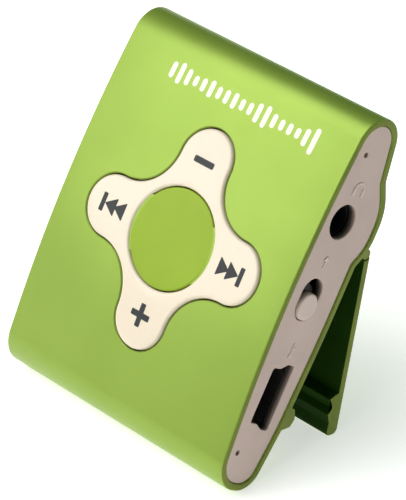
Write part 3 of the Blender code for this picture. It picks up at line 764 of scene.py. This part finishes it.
def makeCapMarks():
    # headphones over the round socket, an arrow by the switch and a data plug by the socket
    y, z = capMarks["headphones"]
    outside, inside = capMarks["bandRadii"]
    embossed("headphoneBand", arc((y, z), outside, 12, 168) + arc((y, z), inside, 168, 12))
    for side, name in ((-1, "headphonePadFront"), (1, "headphonePadBack")):
        embossed(name, roundedBar(y + side * 0.8, z - 0.28, 0.5, 0.95, 0.18))
    y, z = capMarks["arrowFoot"]
    embossed("switchArrowStem", roundedBar(y, z, 0.26, 1.1, 0.1))
    embossed("switchArrowHead", roundedOutline([(y, z + 1.05, 0.05), (y + 0.55, z + 0.4, 0.06),
                                                (y - 0.55, z + 0.4, 0.06)]))
    y, z = capMarks["plug"]
    embossed("dataMarkStem", roundedBar(y, z, 0.2, 1.5, 0.09))
    embossed("dataMarkDot", arc((y, z - 0.85), 0.26, 0, 360, 20)[:-1])
    embossed("dataMarkBranch", roundedBar(y + 0.35, z + 0.1, 0.62, 0.18, 0.08))
    print("cap marks raised")


knob = {
    "radius": 1.62,
    "proud": 0.16,
    "edge": 0.22,
    "dish": 0.05,
    "plateRadius": 2.4,
    "plateFrom": 15.95,
    "plateTo": 16.45,
    "neckFrom": 16.5,
    "steps": 64,
}


def makeKnob():
    # round slider with a shallow dish and a wide plate that keeps it in the cap
    top = sleeve["halfWidth"] + knob["proud"]
    edge = knob["edge"]
    radius = knob["radius"]
    profile = [(knob["plateFrom"], knob["plateRadius"]), (knob["plateTo"], knob["plateRadius"]),
               (knob["neckFrom"], radius), (top - edge, radius)]
    profile += [(top - edge * (1 - math.sin(a)), radius - edge * (1 - math.cos(a))) for a in edgeAngles]
    profile += [(top - knob["dish"] * 0.5, radius * 0.6), (top - knob["dish"], radius * 0.3),
                (top - knob["dish"], 0.02)]
    rings = []
    for x, r in profile:
        ring = arc((cap["slotY"], cap["slotLow"]), r, 0, 360, knob["steps"])[:-1]
        rings.append([(x, p.x, p.y) for p in ring])
    return meshFromRings("sliderKnob", rings)


clip = {
    "angle": 20.9,  # how far it stands open at rest, in degrees
    "thickness": 0.95,
    "length": 23.24,
    "roll": 0.7,
    "edge": 0.13,
    "tipRadii": (0.75, 0.8),
    "tipInside": -1.25,
    "jaw": ((21.4, -1.12, 0.4), (20.15, -1.62, 0.12), (19.45, -1.05, 0.15), (18.2, -1.66, 0.12)),
    "jawFoot": (17.7, 0.15),
    "knuckleStart": 6.0,
    "knuckleEnd": 12.7,
    "paintedShadeFrom": 1.2,  # the painted shade on the clip's inside starts this far from the hinge
}


def clipPoint(s, t):
    # s runs down the plate from the hinge, t outwards
    lean = math.radians(clip["angle"])
    y = hinge.y + s * math.sin(lean) + t * math.cos(lean)
    z = hinge.z - s * math.cos(lean) + t * math.sin(lean)
    return Vector((y, z))


def clipOutline():
    outer = clip["roll"]
    inner = outer - clip["thickness"]
    lip = math.sqrt(outer ** 2 - inner ** 2)
    tipOuter, tipInner = clip["tipRadii"]
    footAlong, footRadius = clip["jawFoot"]
    corners = [(0.0, outer, 0.0), (clip["length"], outer, tipOuter),
               (clip["length"], clip["tipInside"], tipInner), *clip["jaw"],
               (footAlong, inner, footRadius), (lip, inner, 0.0)]
    plate = roundedOutline(corners)
    roll = arc((0, 0), outer, math.degrees(math.asin(inner / outer)), -270)
    return [clipPoint(p.x, p.y) for p in plate[:-1] + roll[:-1]]


def makeClip():
    half = sleeve["halfWidth"]
    piece = bar("clipPlate", clipOutline(), roundedEnds(-half, half, clip["edge"]))
    boolean(piece, hingeBar(sleeve["groove"], clip["knuckleEnd"], half + 1))
    boolean(piece, hingeBar(sleeve["groove"], -half - 1, -clip["knuckleEnd"]))
    boolean(piece, hingeBar(sleeve["springBay"], -clip["knuckleStart"], clip["knuckleStart"]))
    boolean(piece, hingeBar(sleeve["pinHole"], -half - 1, half + 1))
    markEndFaces(piece, half - clip["edge"] * 2)
    outwards = (clipPoint(0, 1) - clipPoint(0, 0)).normalized()
    for face in piece.data.polygons:
        middle = Vector((face.center.y, face.center.z)) / mm - clipPoint(0, 0)
        looksIn = face.normal.y * outwards.x + face.normal.z * outwards.y < -0.3
        if looksIn and middle.length > clip["paintedShadeFrom"]:
            face.material_index = 2  # the side that lies against the pocket gets painted shade, a dark copy of the green
    return piece


spring = {
    "coil": 0.66,
    "wire": 0.14,
    "turns": 4,
    "pitch": 0.46,
    "perTurn": 28,
    "innerX": 3.0,
    "start": 264.0,  # degrees round the pin where the coil leaves its foot
    "foot": (11.03, 5.9),
    "bridge": -0.62,  # just off the clip's inner face
    "legFrom": 1.6,
    "legTo": 6.5,
}


def makeSpring():
    # two coils round the pin, joined by a bridge along the inside of the clip
    total = spring["turns"] * spring["perTurn"]
    half = []
    for k in range(total + 1):
        angle = math.radians(spring["start"] + 360.0 * k / spring["perTurn"])
        x = -spring["innerX"] - spring["pitch"] * (total - k) / spring["perTurn"]
        y = hinge.y + spring["coil"] * math.cos(angle)
        z = hinge.z + spring["coil"] * math.sin(angle)
        half.append((x, y, z))
    foot = [(half[0][0] - 0.05, *spring["foot"])]
    near = clipPoint(spring["legFrom"], spring["bridge"])
    far = clipPoint(spring["legTo"], spring["bridge"])
    leg = [(-spring["innerX"] + 0.15, *near), (-spring["innerX"] + 0.35, *far)]
    route = foot + half + leg
    route += [(-x, y, z) for x, y, z in reversed(route)]
    curve = bpy.data.curves.new("torsionSpring", "CURVE")
    curve.dimensions = "3D"
    curve.bevel_depth = spring["wire"] * mm
    curve.bevel_resolution = 3
    curve.use_fill_caps = True
    line = curve.splines.new("POLY")
    line.points.add(len(route) - 1)
    for point, where in zip(line.points, route):
        point.co = (*(playerAxes @ (Vector(where) * mm)), 1.0)
    piece = bpy.data.objects.new("torsionSpring", curve)
    bpy.context.collection.objects.link(piece)
    curve.materials.append(finishes["steel"])
    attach(piece, "clip")
    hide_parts("clip_spring")
    print("spring wound")


def buildOutside():
    green = [finishes["greenMetal"], finishes["cutEndShadeMetal"], finishes["paintedShadeInnerMetal"]]
    place(makeSleeve(), "player", green, ["body_shell"])
    place(makeClip(), "clip", green, ["clip"])
    print("sleeve and clip cut")
    place(makeKey(), "key", [finishes["keyWhite"]], ["four_way_key"], 40)
    place(makeButton(), "centre_button", [finishes["buttonGreen"]], ["centre_button"], 40)
    for name, side, node in (("capRight", 1, "end_cap_right"), ("capLeft", -1, "end_cap_left")):
        place(makeCap(name, side), "player", [finishes["capPlasticShaded"]], [node], 9)
    place(makeKnob(), "switch", [finishes["knobPlasticShaded"]], ["switch_knob"], 40)
    print("key, button, caps and knob placed")
    makeKeyMarks()
    makeLevelPrint()
    makeCapMarks()
    makeSpring()


innerFinish = {
    "steel": "steel",
    "contact_gold": "gold",
    "black_plastic": "blackPlastic",
    "silicone": "silicone",
    "board": "boardGreen",
    "frame_plastic": "framePlastic",
    "pouch_foil": "foil",
    "tape": "tape",
    "red_wire": "redWire",
    "black_wire": "blackWire",
    "cap_plastic": "capPlasticShaded",
    "key_plastic": "keyWhite",
    "button_plastic": "buttonGreen",
    "green_metal": "greenMetal",
}


def finishInside():
    # the pieces inside keep their own shape and get a real finish
    slotOf = {subpart["node"]: subpart["material_slot"] for subpart in record["subparts"]}
    for name, node in frame["nodes"].items():
        material = finishes[innerFinish[slotOf[name]]]
        for materialSlot in node.material_slots:
            materialSlot.material = material
        node.data.shade_smooth()
    print("inner pieces finished:", len(frame["nodes"]))


studio = {
    "floorReach": 9.0,
    "floorDrop": 0.00002,  # just under the player, so that the two never share a plane
    "floorShade": shade(245, 245, 244),
    "floorGlow": 0.62,
    "airShade": (0.4, 0.85, 0.6, 1.0),
    "airStrength": 0.1,
    "boxPower": 13.6,
    "boxSize": (0.9, 1.5),
    "boxPlace": (-0.41, -0.44, 0.76),
    "backPower": 0.35,
    "backSize": (0.6, 0.4),
    "backPlace": (0.5, 0.7, 0.35),
    "azimuth": 45.19,
    "elevation": 33.68,
    "distance": 0.3647,
    "aim": (0.00291, -0.002, 0.02162),
    "lens": 231.55,
}


def lamp(name, power, size, where, target):
    light = bpy.data.lights.new(name, "AREA")
    light.energy = power
    light.shape = "RECTANGLE"
    light.size = size[0]
    light.size_y = size[1]
    holder = bpy.data.objects.new(name, light)
    holder.location = where
    holder.rotation_euler = (Vector(target) - Vector(where)).to_track_quat("-Z", "Y").to_euler()
    bpy.context.collection.objects.link(holder)


def layFloor():
    builder = bmesh.new()
    bmesh.ops.create_grid(builder, x_segments=2, y_segments=2, size=studio["floorReach"])
    floor = finishMesh("floor", builder)
    floor.location.z = -studio["floorDrop"]
    pale = studio["floorShade"]
    paper = finishOf("floorPaper", {"dark": pale, "light": pale, "roughness": 0.9, "grainScale": 900,
                                    "specular": 0.1})
    shader = paper.node_tree.nodes["Principled BSDF"]
    shader.inputs["Emission Color"].default_value = pale
    shader.inputs["Emission Strength"].default_value = studio["floorGlow"]
    floor.data.materials.append(paper)


def setLights():
    world = bpy.data.worlds.new("studioAir")
    world.use_nodes = True
    air = world.node_tree.nodes["Background"]
    air.inputs["Color"].default_value = studio["airShade"]
    air.inputs["Strength"].default_value = studio["airStrength"]
    bpy.context.scene.world = world
    lamp("softBox", studio["boxPower"], studio["boxSize"], studio["boxPlace"], studio["aim"])
    lamp("backFill", studio["backPower"], studio["backSize"], studio["backPlace"], studio["aim"])


def setCamera():
    aim = Vector(studio["aim"])
    camera = bpy.data.cameras.new("studioCamera")
    camera.lens = studio["lens"]
    camera.clip_start = 0.01
    holder = bpy.data.objects.new("studioCamera", camera)
    azimuth = math.radians(studio["azimuth"])
    elevation = math.radians(studio["elevation"])
    away = Vector((math.sin(azimuth) * math.cos(elevation), -math.cos(azimuth) * math.cos(elevation),
                   math.sin(elevation)))
    holder.location = aim + away * studio["distance"]
    holder.rotation_euler = (-away).to_track_quat("-Z", "Y").to_euler()
    bpy.context.collection.objects.link(holder)
    bpy.context.scene.camera = holder
    bpy.context.scene.view_settings.view_transform = "Standard"


buildOutside()
finishInside()
layFloor()
setLights()
setCamera()
print("floor laid, lights and camera set")
